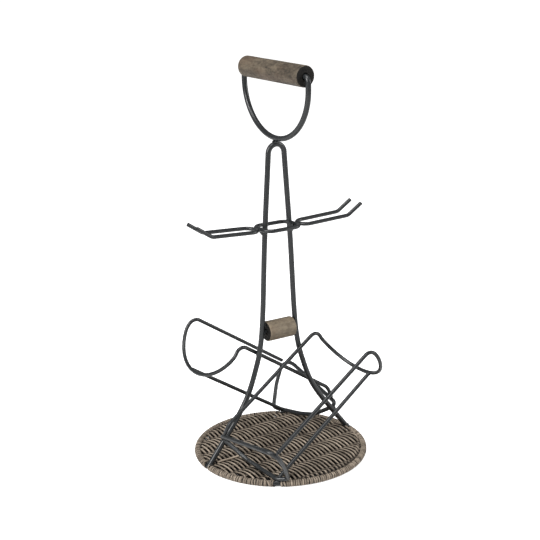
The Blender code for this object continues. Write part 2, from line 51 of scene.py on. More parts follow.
GRAPHITE_WORN = (0.055, 0.058, 0.060, 1.0)
COAT_RELIEF = 0.25 * MM
SHARP_ANGLE = math.radians(50)


class Output:
    """One output of a node. Sums written with it become Math nodes, and output["Title"] is another output of
    its node."""

    def __init__(self, node, key=0):
        self.node, self.key = node, key

    def __getitem__(self, key):
        return Output(self.node, key)

    def __add__(self, other):
        return sum_up("ADD", self, other)

    def __sub__(self, other):
        return sum_up("SUBTRACT", self, other)

    def __rsub__(self, other):
        return sum_up("SUBTRACT", other, self)

    def __mul__(self, other):
        return sum_up("MULTIPLY", self, other)

    def __truediv__(self, other):
        return sum_up("DIVIDE", self, other)


def tree_of(*values):
    """The tree that the nodes of the values are in."""
    return next(value.node.id_data for value in values if isinstance(value, Output))


def feed(node, inputs):
    """Sets inputs of a node, each to a plain value or to the output that feeds it."""
    for key, value in dict(inputs).items():
        if isinstance(value, Output):
            node.id_data.links.new(value.node.outputs[value.key], node.inputs[key])
        else:
            node.inputs[key].default_value = value


def add(tree, kind, inputs=(), **settings):
    """Puts a node in a tree and returns its first output."""
    node = tree.nodes.new(kind)
    for key, value in settings.items():
        setattr(node, key, value)
    feed(node, inputs)
    return Output(node)


def sum_up(operation, *values):
    """A Math node with the values in order."""
    return add(tree_of(*values), "ShaderNodeMath", enumerate(values), operation=operation)


def combine(x=0.0, y=0.0, z=0.0):
    """A vector from three values."""
    return add(tree_of(x, y, z), "ShaderNodeCombineXYZ", enumerate((x, y, z)))


def separate(vector):
    """The three values of a vector."""
    return add(tree_of(vector), "ShaderNodeSeparateXYZ", {0: vector})


def ramp(value, low, high, to_low=0.0, to_high=1.0):
    """Maps low..high to to_low..to_high, softened at both ends."""
    inputs = {"Value": value, "From Min": low, "From Max": high, "To Min": to_low, "To Max": to_high}
    return add(tree_of(value), "ShaderNodeMapRange", inputs, interpolation_type="SMOOTHSTEP")


def blend_colours(share, first, second):
    """A Mix node set to colours: 0, 6 and 7 are its factor and two colours, and 2 is the result."""
    return add(tree_of(share), "ShaderNodeMix", {0: share, 6: first, 7: second}, data_type="RGBA")[2]


def speckle(place, scale, detail, **more):
    """Noise over a place, with about as many lumps to the metre as the scale says."""
    inputs = {"Vector": place, "Scale": scale, "Detail": detail, **more}
    return add(tree_of(place), "ShaderNodeTexNoise", inputs)


def new_group(name, kind, inputs, outputs):
    """A node group with titled sockets, listed by kind. Returns it with its inner inputs."""
    group = bpy.data.node_groups.new(name, kind)
    for way, sockets in (("INPUT", inputs), ("OUTPUT", outputs)):
        for socket, titles in sockets.items():
            for title in titles:
                group.interface.new_socket(title, in_out=way, socket_type="NodeSocket" + socket)
    return group, add(group, "NodeGroupInput")


def new_effect(name, **inputs):
    """An effect that several materials share. It gives a colour, a roughness and a height."""
    return new_group(name, "ShaderNodeTree", inputs, {"Color": ["Colour"], "Float": ["Roughness", "Height"]})


def close_effect(colour, roughness, height):
    group = tree_of(colour)
    add(group, "NodeGroupOutput", {"Colour": colour, "Roughness": roughness, "Height": height})
    return group


def powder_coat_effect():
    """Sprayed and baked coat: fine orange peel, a slow drift of tone, and dull scuffs where it is handled."""
    group, given = new_effect("powder coat", Color=["Colour", "Worn colour"], Float=["Wear"],
                              Vector=["Shift"])
    place = add(group, "ShaderNodeTexCoord")["Object"]
    place = add(group, "ShaderNodeVectorMath", {0: place, 1: given["Shift"]}, operation="ADD")
    peel = speckle(place, 900, 2)
    drift = speckle(place, 55, 5)
    rubbed = speckle(place, 210, 8, Roughness=0.72)
    scuff = ramp(rubbed, 0.60, 0.74) * given["Wear"]
    tone = ramp(drift, 0.3, 0.7, 0.88, 1.12)
    toned = add(group, "ShaderNodeVectorMath", {0: given["Colour"], "Scale": tone}, operation="SCALE")
    return close_effect(blend_colours(scuff, toned, given["Worn colour"]),
                        ramp(drift, 0.3, 0.7, 0.26, 0.35) + scuff * 0.25, peel + rubbed * 0.6)


POWDER_COAT = powder_coat_effect()


def new_material(name):
    material = bpy.data.materials.new(name)
    material.use_nodes = True
    return material, material.node_tree


def finished(material, group, inputs, bump, depth, specular):
    """Feeds a material's shader from the colour, roughness and height of an effect."""
    tree = material.node_tree
    effect = add(tree, "ShaderNodeGroup", inputs, node_tree=group)
    relief = add(tree, "ShaderNodeBump", {"Height": effect["Height"], "Strength": bump, "Distance": depth})
    feed(tree.nodes["Principled BSDF"], {"Base Color": effect["Colour"], "Roughness": effect["Roughness"],
                                         "Normal": relief, "Specular IOR Level": specular})
    return material


def coated_steel(name, wear=0.35, bump=0.07):
    """Graphite powder coat on steel; each piece has its own patch of the pattern."""
    material, tree = new_material(name)
    shift = Vector((len(name), sum(map(ord, name)) % 17, len(bpy.data.materials))) * 0.37
    inputs = {"Colour": GRAPHITE, "Worn colour": GRAPHITE_WORN, "Wear": wear, "Shift": shift}
    return finished(material, POWDER_COAT, inputs, bump, COAT_RELIEF, specular=0.5)


def store(geometry, name, value, **settings):
    """Keeps a value on the geometry under a name."""
    inputs = {0: geometry, "Name": name, "Value": value}
    return add(tree_of(geometry), "GeometryNodeStoreNamedAttribute", inputs, **settings)


def stored(tree, name, **settings):
    """Reads back a value kept under a name."""
    return add(tree, "GeometryNodeInputNamedAttribute", {"Name": name}, **settings)


def circle(tree, sides, radius):
    return add(tree, "GeometryNodeCurvePrimitiveCircle", {"Resolution": sides, "Radius": radius})


def sweep(path, section, scale=1.0):
    """Draws a section along a path. The grain attribute is the length along it and the place across."""
    tree = tree_of(path)
    path = store(path, "length", add(tree, "GeometryNodeSplineParameter")["Length"])
    section = store(section, "across", add(tree, "GeometryNodeInputPosition"), data_type="FLOAT_VECTOR")
    mesh = add(tree, "GeometryNodeCurveToMesh", {"Curve": path, "Profile Curve": section, "Scale": scale,
                                                 "Fill Caps": True})
    across = separate(stored(tree, "across", data_type="FLOAT_VECTOR"))
    grain = combine(stored(tree, "length"), across[0], across[1])
    mesh = store(mesh, "grain", grain, data_type="FLOAT_VECTOR")
    mesh = add(tree, "GeometryNodeSetShadeSmooth", {0: mesh, "Shade Smooth": True})
    angle = add(tree, "GeometryNodeInputMeshEdgeAngle")
    corner = add(tree, "FunctionNodeCompare", {0: angle, 1: SHARP_ANGLE}, operation="GREATER_THAN")
    return add(tree, "GeometryNodeSetShadeSmooth", {0: mesh, "Selection": corner, "Shade Smooth": False},
               domain="EDGE")


def new_tree(name, sizes, counts=()):
    """A geometry tree with titled sizes and counts. Returns it with its inner inputs."""
    inputs = {"Geometry": ["Geometry"], "Float": sizes, "Int": counts, "Material": ["Material"]}
    return new_group(name, "GeometryNodeTree", inputs, {"Geometry": ["Geometry"]})


def close_tree(mesh, material):
    """Every tree ends in real faces with their material."""
    tree = tree_of(mesh)
    real = add(tree, "GeometryNodeRealizeInstances", {0: mesh})
    add(tree, "NodeGroupOutput", {0: add(tree, "GeometryNodeSetMaterial", {0: real, "Material": material})})
    return tree


def bent_wire_tree():
    """A round wire along its centreline."""
    tree, given = new_tree("bent wire", ["Diameter"], ["Sides"])
    section = circle(tree, given["Sides"], given["Diameter"] / 2)
    return close_tree(sweep(given["Geometry"], section), given["Material"])


BENT_WIRE = bent_wire_tree()


def centreline(name, runs, closed=False):
    """A curve with one straight-run spline for each list of points."""
    curve = bpy.data.curves.new(name, "CURVE")
    curve.dimensions = "3D"
    for points in runs:
        spline = curve.splines.new("POLY")
        spline.points.add(len(points) - 1)
        for target, point in zip(spline.points, points):
            target.co = (*point, 1.0)
        spline.use_cyclic_u = closed
    return curve


def show(name, data):
    """Puts a mesh, curve, lamp or camera in the scene."""
    obj = bpy.data.objects.new(name, data)
    bpy.context.scene.collection.objects.link(obj)
    return obj


def grown(name, source, tree, values):
    """Runs a tree on a curve or mesh and keeps the result as one plain mesh."""
    holder = show(name + "_path", source)
    modifier = holder.modifiers.new(tree.name, "NODES")
    modifier.node_group = tree
    for item in tree.interface.items_tree:
        if item.in_out == "INPUT" and item.name in values:
            modifier[item.identifier] = values[item.name]
    depsgraph = bpy.context.evaluated_depsgraph_get()
    mesh = bpy.data.meshes.new_from_object(holder.evaluated_get(depsgraph), preserve_all_data_layers=True,
                                           depsgraph=depsgraph)
    bpy.data.objects.remove(holder, do_unlink=True)
    mesh.name = name
    return show(name, mesh)


def steel_wire(part, points, diameter, wear=0.35, closed=False, form="wire"):
    """A bent steel wire with a coat of its own."""
    return grown(f"{part}_{form}", centreline(part, [points], closed), BENT_WIRE,
                 {"Diameter": diameter, "Sides": WIRE_SIDES, "Material": coated_steel(part + " coat", wear)})


def on_rim(angle, height=HOOP_HEIGHT, out=0.0):
    """A point on the line of the hoop, or above or outside it."""
    return Vector(((HOOP_CENTRE + out) * math.cos(angle), (HOOP_CENTRE + out) * math.sin(angle), height))


hoop_path = [on_rim(2 * math.pi * i / HOOP_STEPS) for i in range(HOOP_STEPS)]
hoop = steel_wire("hoop", hoop_path, HOOP_WIRE, wear=0.6, closed=True)
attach(hoop, "stand")
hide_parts("base_hoop")


# -------------------------------------------------------------- rim binding
# Split cane, 2.3 mm wide, wound tightly round the hoop in four stretches between the feet. The last turns
# draw together under each foot. Each turn has weathered to its own grey-brown, and painted shade darkens
# its edges where it meets the next turn.
BINDING_OUTER = 3.35 * MM
BINDING_THICKNESS = 0.75 * MM
WRAP_WIDTH = 2.3 * MM
WRAP_HALF_SHARE = 0.53
WRAP_STEPS, WRAP_SIDES = 22, 12
WRAP_LEAN, END_LEAN, END_LEAN_RUN = 0.11, 0.45, 12 * MM
STOP_FOOT_ANGLE = math.radians(235.0)
STOP_FOOT_BARE = math.radians(1.6)
STOP_TOE_BARE = math.radians(2.4)
POST_BARE = 2.5 * MM / HOOP_CENTRE
BINDING_STEP = math.radians(1.5)
CANE_LIGHT = (0.400, 0.332, 0.262, 1.0)
CANE_DARK = (0.112, 0.090, 0.070, 1.0)
# Near-black colour that painted shade blends the cane towards.
CANE_PAINTED_SHADE = (0.0050, 0.0038, 0.0030, 1.0)
CANE_RELIEF = 0.3 * MM


def cane_effect():
    """Weathered cane: fibres along the strand, blotches, a tone for each strand, and painted shade
    in recesses.
    """
    group, given = new_effect("weathered cane", Color=["Light", "Dark", "Painted shade colour"], Vector=["Grain"],
                              Float=["Tone", "Painted_shade"])
    stretch = add(group, "ShaderNodeMapping", {"Vector": given["Grain"], "Scale": (90, 2400, 2400)})
    own = combine(given["Tone"] * 91.0)
    fibre = speckle(add(group, "ShaderNodeVectorMath", {0: stretch, 1: own}, operation="ADD"), 1.0, 3)
    place = add(group, "ShaderNodeTexCoord")["Object"]
    blotch = speckle(place, 130, 4)
    speck = speckle(place, 620, 2)
    share = ramp(fibre, 0.3, 0.7) * 0.35 + ramp(blotch, 0.35, 0.65) * 0.22 + given["Tone"] * 0.5
    share = add(group, "ShaderNodeClamp", {0: share - ramp(speck, 0.62, 0.72, 0.0, 0.5)})
    colour = blend_colours(share, given["Dark"], given["Light"])
    # Painted shade: the cane is blended towards the near-black colour by the shade attribute of the mesh.
    return close_effect(blend_colours(given["Painted_shade"], colour, given["Painted shade colour"]),
                        ramp(fibre, 0.3, 0.7, 0.82, 0.6) + given["Painted_shade"] * 0.3, fibre + speck)


WEATHERED_CANE = cane_effect()


def weathered_cane(name, light=CANE_LIGHT, dark=CANE_DARK):
    """Cane whose fibres, tone and painted shade follow the attributes of its mesh."""
    material, tree = new_material(name)
    inputs = {"Light": light, "Dark": dark, "Painted shade colour": CANE_PAINTED_SHADE}
    for title, output in (("Grain", "Vector"), ("Tone", "Fac"), ("Painted_shade", "Fac")):
        inputs[title] = add(tree, "ShaderNodeAttribute", attribute_name=title.lower())[output]
    return finished(material, WEATHERED_CANE, inputs, 0.5, CANE_RELIEF, specular=0.2)


def random_value(low, high, seed, offset):
    """A random number for each element, from the tree's seed."""
    return add(tree_of(seed), "FunctionNodeRandomValue", {"Seed": seed + float(offset), 2: low, 3: high})[1]


def flattened(curve, width, thickness):
    """A section of unit size pressed to a width and a thickness."""
    return add(tree_of(curve), "GeometryNodeTransform", {0: curve, "Scale": combine(width, thickness, 1.0)})


def wrap_tree():
    """One flat turn of cane on each step along the rim. Near its ends a stretch fans out towards the feet."""
    tree, given = new_tree("wound wraps", ["Wrap width", "Outer radius", "Thickness", "Lean", "End lean"],
                           ["Seed"])
    seed = given["Seed"]
    half_thick = given["Thickness"] / 2
    half_width = given["Wrap width"] * WRAP_HALF_SHARE
    turn = circle(tree, WRAP_STEPS, given["Outer radius"] - half_thick)
    ring = sweep(turn, flattened(circle(tree, WRAP_SIDES, 1.0), half_thick, half_width))
    edge = sum_up("ABSOLUTE", separate(stored(tree, "grain", data_type="FLOAT_VECTOR"))[2])
    # Painted shade: each turn darkens towards its edges, where it meets the next turn.
    ring = store(ring, "painted_shade", ramp(edge / half_width, 0.55, 0.95, 0.0, 0.95))
    gone = add(tree, "GeometryNodeSplineParameter")["Length"]
    left = add(tree, "GeometryNodeSplineLength")["Length"] - gone
    fan = ramp(left, 0.0, END_LEAN_RUN, 1.0, 0.0) - ramp(gone, 0.0, END_LEAN_RUN, 1.0, 0.0)
    path = store(given["Geometry"], "fan", fan)
    steps = add(tree, "GeometryNodeCurveToPoints", {"Curve": path, "Length": given["Wrap width"]},
                mode="LENGTH")
    squeeze = random_value(0.955, 1.0, seed, 1)
    scale = combine(squeeze, squeeze, random_value(0.86, 1.04, seed, 2))
    turns = add(tree, "GeometryNodeInstanceOnPoints", {"Points": steps, "Instance": ring,
                                                       "Rotation": steps["Rotation"], "Scale": scale})
    lean = given["Lean"] + random_value(-0.05, 0.05, seed, 3) + stored(tree, "fan") * given["End lean"]
    lean = combine(lean, random_value(-0.05, 0.05, seed, 4), random_value(0.0, 6.28, seed, 5))
    turns = add(tree, "GeometryNodeRotateInstances", {0: turns, "Rotation": lean})
    turns = store(turns, "tone", random_value(0.0, 1.0, seed, 6), domain="INSTANCE")
    return close_tree(turns, given["Material"])


WOUND_WRAPS = wrap_tree()
stop_from, stop_to = STOP_FOOT_ANGLE - STOP_FOOT_BARE, STOP_FOOT_ANGLE + STOP_TOE_BARE
margin = 0.5 * WRAP_WIDTH / HOOP_CENTRE
# The third number scales a stretch's cane colours: painted light, strongest on the front right stretch.
stretches = {"rim_binding_front_left": (math.pi + POST_BARE, stop_from, 1.0),
             "rim_binding_front_right": (stop_to, 2 * math.pi - POST_BARE, 1.24),
             "rim_binding_back_right": (POST_BARE, stop_from - math.pi, 1.1),
             "rim_binding_back_left": (stop_to - math.pi, math.pi - POST_BARE, 1.0)}
for seed, (node, (start, end, painted_lightness)) in enumerate(stretches.items()):
    count = round((end - start) / BINDING_STEP)
    arc = [on_rim(start + margin + (end - start - 2 * margin) * i / count) for i in range(count + 1)]
    light, dark = [(*[painted_lightness * part for part in colour[:3]], 1.0) for colour in (CANE_LIGHT, CANE_DARK)]
    winding = grown(node + "_cane", centreline(node, [arc]), WOUND_WRAPS,
                    {"Wrap width": WRAP_WIDTH, "Outer radius": BINDING_OUTER, "Thickness": BINDING_THICKNESS,
                     "Lean": WRAP_LEAN, "End lean": END_LEAN, "Seed": seed,
                     "Material": weathered_cane(node + " cane", light, dark)})
    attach(winding, "stand")
    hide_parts(node)


# --------------------------------------------------------------- mat stakes
# Six straight cane rods, 2.4 mm thick, that run across the hoop and carry the weave. Their ends are tucked
# under the binding. The mat lies a few degrees askew to the handle.
STAKE_DIAMETER = 2.4 * MM
STAKE_SPACING = 26.8 * MM
STAKE_SHIFT = -7.0 * MM
ROD_SIDES = 12
STAKE_HALF_STEPS = 12
STAKE_SWAY = 0.5 * MM
MAT_RADIUS = 85.3 * MM
MAT_HEIGHT = HOOP_HEIGHT + 0.6 * MM
WEAVE_TURN = math.radians(5.5)


def cane_rod(part, points, diameter, tone, light=CANE_LIGHT):
    """A round rod of cane that has one tone all over."""
    rod = grown(part + "_cane", centreline(part, [points]), BENT_WIRE,
                {"Diameter": diameter, "Sides": ROD_SIDES,
                 "Material": weathered_cane(part.replace("_", " ") + " cane", light)})
    tones = rod.data.attributes.new("tone", "FLOAT", "POINT")
    tones.data.foreach_set("value", [tone] * len(rod.data.vertices))
    return rod


turn = Matrix.Rotation(WEAVE_TURN, 3, "Z")
for number in range(1, 7):
    row = STAKE_SHIFT + (number - 3) * STAKE_SPACING
    half = math.sqrt(MAT_RADIUS ** 2 - row ** 2)
    points = []
    for i in range(2 * STAKE_HALF_STEPS + 1):
        along = half * (i / STAKE_HALF_STEPS - 1)
        sway = noise.noise(Vector((along * 30, row * 50, 0))) * STAKE_SWAY
        points.append(turn @ Vector((along, row + sway, 0)) + Vector((0, 0, MAT_HEIGHT)))
    stake = cane_rod(f"mat_stake_{number}", points, STAKE_DIAMETER, tone=0.2 + 0.1 * number)
    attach(stake, "stand")
    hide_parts(f"mat_stake_{number}")


# --------------------------------------------------------------- mat weaver
# Round cane strands, 2 mm thick, woven over and under the stakes, each one the other way round from its
# neighbour. They are beaten close together. Painted shade darkens them where they dip under, along their
# sides and near the binding. One loose end of cane lies on the mat at the front left.
STRANDS = 67
STRAND_STEPS, STRAND_SIDES = 97, 10
STRAND_PITCH = 2.5 * MM
STRAND_WIDTH = 2.7 * MM
STRAND_THICKNESS = 2.0 * MM
STRAND_SWAY = 1.4 * MM
STRAND_HOOK, HOOK_RUN = 1.6 * MM, 9.0 * MM
STRAND_LIGHT = (0.560, 0.463, 0.364, 1.0)
WAVE_HEIGHT = 2.5 * MM
WEAVE_SEED = 7
LOOSE_END_THICKNESS = 2.1 * MM
LOOSE_END_COURSE = [(-77.7, -0.8, 6.0), (-72.0, -1.6, 6.9), (-66.1, -2.5, 7.2), (-53.8, -3.0, 7.5)]  # mm


def strand_tree():
    """A wavy strand on each step across the mat, cut to the circle inside the rim."""
    tree, given = new_tree("woven strands", ["Pitch", "Strand width", "Strand thickness", "Mat radius",
                                             "Wave height", "Hook", "Stake spacing", "Stake shift", "Height",
                                             "Turn"], ["Strands", "Seed"])
    first = (given["Strands"] - 1.0) * given["Pitch"] * -0.5
    row = add(tree, "GeometryNodeMeshLine", {"Count": given["Strands"], "Start Location": combine(first),
                                             "Offset": combine(given["Pitch"])})
    odd = sum_up("MODULO", add(tree, "GeometryNodeInputIndex"), 2.0)
    row = store(row, "side", 1.0 - odd * 2.0)
    row = store(row, "tone", random_value(0.0, 1.0, given["Seed"], 1))
    strand = add(tree, "GeometryNodeCurvePrimitiveLine", {"Start": (0, -1, 0), "End": (0, 1, 0)})
    strand = add(tree, "GeometryNodeResampleCurve", {"Curve": strand, "Count": STRAND_STEPS})
    strands = add(tree, "GeometryNodeInstanceOnPoints", {"Points": row, "Instance": strand})
    strands = add(tree, "GeometryNodeRealizeInstances", {0: strands})

    place = separate(add(tree, "GeometryNodeInputPosition"))
    inner = sum_up("ABSOLUTE", place[0]) - given["Strand width"] * 0.5
    half = sum_up("SQRT", sum_up("POWER", given["Mat radius"], 2.0) - sum_up("POWER", inner, 2.0))
    across = place[1] * half
    room = half - sum_up("ABSOLUTE", across)
    phase = (across - given["Stake shift"]) / given["Stake spacing"]
    wave = sum_up("COSINE", phase * math.pi) * stored(tree, "side") * ramp(room, 0.5 * MM, 7.0 * MM)
    strands = store(strands, "lift", wave)
    # Close to the binding the strands get painted shade: this share cuts their unshaded part down to 0.4.
    strands = store(strands, "open", ramp(room, 1.0 * MM, 6.0 * MM, 0.4, 1.0))
    sway = (speckle(combine(place[0], across), 75.0, 2) - 0.5) * STRAND_SWAY
    near_side = sum_up("LESS_THAN", across, 0.0)
    hook = ramp(room, 0.0, HOOK_RUN, 1.0, 0.0) * near_side * given["Hook"]
    moved = combine(place[0] + (sway - hook), across, given["Height"] + wave * given["Wave height"])
    strands = add(tree, "GeometryNodeSetPosition", {0: strands, "Position": moved})
    section = flattened(circle(tree, STRAND_SIDES, 0.5), given["Strand width"], given["Strand thickness"])
    mesh = sweep(strands, section)

    # Painted shade: the sides of each strand and the parts that dip under the stakes are darkened.
    facing = separate(add(tree, "GeometryNodeInputNormal"))[2]
    outer = sum_up("SIGN", facing) * stored(tree, "lift")
    unshaded = ramp(sum_up("ABSOLUTE", facing), 0.45, 1.0) * ramp(outer, -0.25, 0.35)
    mesh = store(mesh, "painted_shade", 1.0 - unshaded * stored(tree, "open"))
    mesh = add(tree, "GeometryNodeTransform", {0: mesh, "Rotation": combine(z=given["Turn"])})
    return close_tree(mesh, given["Material"])


weave = grown("mat_weaver_cane", bpy.data.meshes.new("weave"), strand_tree(),
              {"Strands": STRANDS, "Pitch": STRAND_PITCH, "Strand width": STRAND_WIDTH,
               "Strand thickness": STRAND_THICKNESS, "Mat radius": MAT_RADIUS, "Wave height": WAVE_HEIGHT,
               "Hook": STRAND_HOOK, "Stake spacing": STAKE_SPACING, "Stake shift": STAKE_SHIFT,
               "Height": MAT_HEIGHT, "Turn": WEAVE_TURN, "Seed": WEAVE_SEED,
               "Material": weathered_cane("mat weaver cane", light=STRAND_LIGHT)})
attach(weave, "stand")
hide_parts("mat_weaver")

course = [Vector(point) * MM for point in LOOSE_END_COURSE]
loose_end = cane_rod("loose_end", course, LOOSE_END_THICKNESS, tone=0.8, light=STRAND_LIGHT)
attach(loose_end, "stand")


# ------------------------------------------------------------- hairpin post
# One length of 5.5 mm steel wire bent to a tall hairpin. Its legs splay to the rim and are welded on the bare
# hoop, and everything else hangs on it.
POST_WIRE = 5.5 * MM
POST_BEND = 9.3 * MM
POST_BEND_HEIGHT = 318.5 * MM
POST_BEND_STEPS = 24
POST_LEG = [(65.3, 32.0), (50.6, 51.3), (39.3, 69.7), (30.3, 92.3), (23.1, 118.0), (19.1, 154.0),
            (15.3, 231.0)]  # out from the middle and up, mm
POST_RADIUS = POST_WIRE / 2
HOOP_CORNER_RADIUS = HOOP_WIRE / 2 / math.cos(math.pi / 8)
WELD_GAP = 0.3 * MM
FOOT_HEIGHT = 12 * MM
FOOT_WELD, FOOT_WELD_RISE = 2.4 * MM, 0.4 * MM


def smooth_path(knots, steps):
    """A smooth curve through the knots, led at each stretch by the knot before and the knot after."""
    points = []
    padded = [2 * knots[0] - knots[1]] + knots + [2 * knots[-1] - knots[-2]]
    for a, b, c, d in zip(padded, padded[1:], padded[2:], padded[3:]):
        for i in range(steps):
            u = i / steps
            points.append(0.5 * (2 * b + (c - a) * u + (2 * a - 5 * b + 4 * c - d) * u ** 2
                                 + (3 * b - a - 3 * c + d) * u ** 3))
    return points + [knots[-1]]


def post_leg(steps=10):
    """Centreline of the right leg, from the hoop up to the top bend."""
    hoop_centre = on_rim(0)
    knots = [Vector((x * MM, 0, z * MM)) for x, z in POST_LEG]
    rise = (knots[0] - hoop_centre).normalized()
    foot = hoop_centre + rise * (HOOP_CORNER_RADIUS + WELD_GAP)
    return smooth_path([foot, *knots, Vector((POST_BEND, 0, POST_BEND_HEIGHT))], steps)


def leg_half_width(height):
    """How far out a leg's centreline is at a height."""
    path = post_leg(4)
    for low, high in zip(path, path[1:]):
        if low.z <= height <= high.z:
            return low.x + (height - low.z) / (high.z - low.z) * (high.x - low.x)
    return POST_BEND


def on_leg(height):
    return Vector((leg_half_width(height), 0, height))


def leg_direction(height, step=2 * MM):
    return (on_leg(height + step) - on_leg(height - step)).normalized()


def half_turn(point):
    return Vector((-point.x, -point.y, point.z))


def turned_too(runs):
    """The runs, and the same ones half a turn round for the other side of the carrier."""
    return runs + [[half_turn(point) for point in run] for run in runs]


def weld_tree():
    """A lumpy bead along each short run, tapered at both ends."""
    tree, given = new_tree("weld bead", ["Width", "Lumps"])
    run = add(tree, "GeometryNodeResampleCurve", {"Curve": given["Geometry"], "Count": 14})
    swell = sum_up("SINE", add(tree, "GeometryNodeSplineParameter")["Factor"] * math.pi)
    mesh = sweep(run, circle(tree, 12, given["Width"] / 2), sum_up("POWER", swell + 0.04, 0.45))
    lumps = (speckle(add(tree, "GeometryNodeInputPosition"), 420.0, 2) - 0.5) * given["Lumps"]
    push = add(tree, "ShaderNodeVectorMath", {0: add(tree, "GeometryNodeInputNormal"), "Scale": lumps},
               operation="SCALE")
    return close_tree(add(tree, "GeometryNodeSetPosition", {0: mesh, "Offset": push}), given["Material"])


WELD_BEAD = weld_tree()


def weld(name, runs, width):
    """Welds made at one stage of the work, coated together with the wire."""
    coat = coated_steel(name + " coat", wear=0.3, bump=0.5)
    bead = grown(name, centreline(name, runs), WELD_BEAD,
                 {"Width": width, "Lumps": 0.35 * width, "Material": coat})
    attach(bead, "stand")


def collar(centre, axis, radius, steps=16):
    """A turn round a wire, for a weld all the way round it."""
    side = axis.orthogonal().normalized()
    other = axis.normalized().cross(side)
    angles = [2 * math.pi * i / steps for i in range(steps + 1)]
    return [centre + radius * (side * math.cos(a) + other * math.sin(a)) for a in angles]


leg = post_leg()
bend = [Vector((POST_BEND * math.cos(a), 0, POST_BEND_HEIGHT + POST_BEND * math.sin(a)))
        for a in [math.pi * i / POST_BEND_STEPS for i in range(1, POST_BEND_STEPS)]]
down_leg = [half_turn(point) for point in reversed(leg)]
post_path = [on_rim(0), *leg, *bend, *down_leg, half_turn(on_rim(0))]
post = steel_wire("hairpin", post_path, POST_WIRE, wear=0.45)
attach(post, "stand")
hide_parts("hairpin_post")

rise = leg_direction(FOOT_HEIGHT)
weld("foot_welds", turned_too([collar(leg[0] + rise * FOOT_WELD_RISE, rise, POST_RADIUS)]), FOOT_WELD)


# --------------------------------------------------------------- handle bow
# A D of 5.5 mm wire that stands on the top bend of the hairpin, square to it, with a small weld on either
# side. Both its ends turn inwards and go into the wooden grip.
HANDLE_WIRE = 5.5 * MM
HANDLE_RADIUS = HANDLE_WIRE / 2
BOW_HALF_WIDTH = 57.5 * MM
BOW_DROP = 53.2 * MM
BOW_RISE = 12.4 * MM
BOW_BEND = 6.0 * MM
BOW_INSERT = 12.0 * MM
BOW_STEPS = 56
BOW_WELD, BOW_WELD_ASIDE, BOW_WELD_SINK = 2.6 * MM, 2.3 * MM, 0.8 * MM
GRIP_LENGTH = 105.4 * MM


def round_corner(before, corner, after, radius, step=math.radians(7.5)):
    """Points of the arc that a bending tool leaves at a corner of a wire."""
    back, ahead = (before - corner).normalized(), (after - corner).normalized()
    turn = math.pi - back.angle(ahead)
    if radius == 0 or turn < math.radians(1):
        return [corner]
    reach = radius * math.tan(turn / 2)
    centre = corner + (back + ahead).normalized() * (radius / math.cos(turn / 2))
    start, end = (corner + back * reach - centre).normalized(), (corner + ahead * reach - centre).normalized()
    count = max(2, math.ceil(turn / step))
    return [centre + radius * start.slerp(end, i / count) for i in range(count + 1)]


def bent_path(corners, closed=False):
    """Straight runs with rounded corners. Each corner is a point and its bend radius."""
    points = []
    for i, (corner, radius) in enumerate(corners):
        if not closed and i in (0, len(corners) - 1):
            points.append(corner)
        else:
            points += round_corner(corners[i - 1][0], corner, corners[(i + 1) % len(corners)][0], radius)
    return points


def short_run(centre, direction, *places):
    """A straight weld through places along a direction, in mm from its centre."""
    return [centre + direction.normalized() * place * MM for place in places]


bow_bottom = POST_BEND_HEIGHT + POST_BEND + POST_RADIUS + WELD_GAP + HANDLE_RADIUS
bow_centre = bow_bottom + BOW_DROP
grip_height = bow_centre + BOW_RISE
inside_grip = Vector((0, GRIP_LENGTH / 2 - BOW_INSERT, grip_height))
elbow, bow_side = [Vector((0, BOW_HALF_WIDTH, height)) for height in (grip_height, bow_centre)]
right = bent_path([(inside_grip, 0), (elbow, BOW_BEND), (bow_side, 0)])
under = [Vector((0, BOW_HALF_WIDTH * math.cos(a), bow_centre - BOW_DROP * math.sin(a)))
         for a in [math.pi * i / BOW_STEPS for i in range(1, BOW_STEPS)]]
bow_path = right + under + [half_turn(point) for point in reversed(right)]
bow = steel_wire("bow", bow_path, HANDLE_WIRE, wear=0.5)
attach(bow, "stand")
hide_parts("handle_bow")

seats = [Vector((0, side * BOW_WELD_ASIDE, bow_bottom - HANDLE_RADIUS - BOW_WELD_SINK)) for side in (-1, 1)]
weld("bow_welds", [short_run(seat, Vector((1, 0, 0)), -3.2, 0, 3.2) for seat in seats], BOW_WELD)


# ----------------------------------------------------------------- top grip
# A turned hardwood dowel, 21 mm thick, that turns freely on the two ends of the bow. The wood is stained a
# greyed brown and its sawn ends are nearly black.
GRIP_RADIUS = 10.5 * MM
GRIP_EDGE = 0.9 * MM
BORE_RADIUS = HANDLE_RADIUS + 0.6 * MM
BORE_DEPTH = BOW_INSERT + 2 * MM
BORE_CHAMFER = 0.4 * MM
DOWEL_SIDES, TOP_GRIP_STEPS, EDGE_STEPS = 56, 36, 5
TURNING_WAVE = 0.1 * MM
WOOD_LIGHT = (0.156, 0.124, 0.086, 1.0)
WOOD_DARK = (0.022, 0.016, 0.011, 1.0)
WOOD_WARM = (0.090, 0.054, 0.034, 1.0)
END_DARK = (0.0045, 0.0042, 0.0040, 1.0)
END_LIGHT = (0.018, 0.016, 0.014, 1.0)
WOOD_RELIEF = 0.25 * MM
QUARTER_TURN = (0, 0, math.pi / 2)


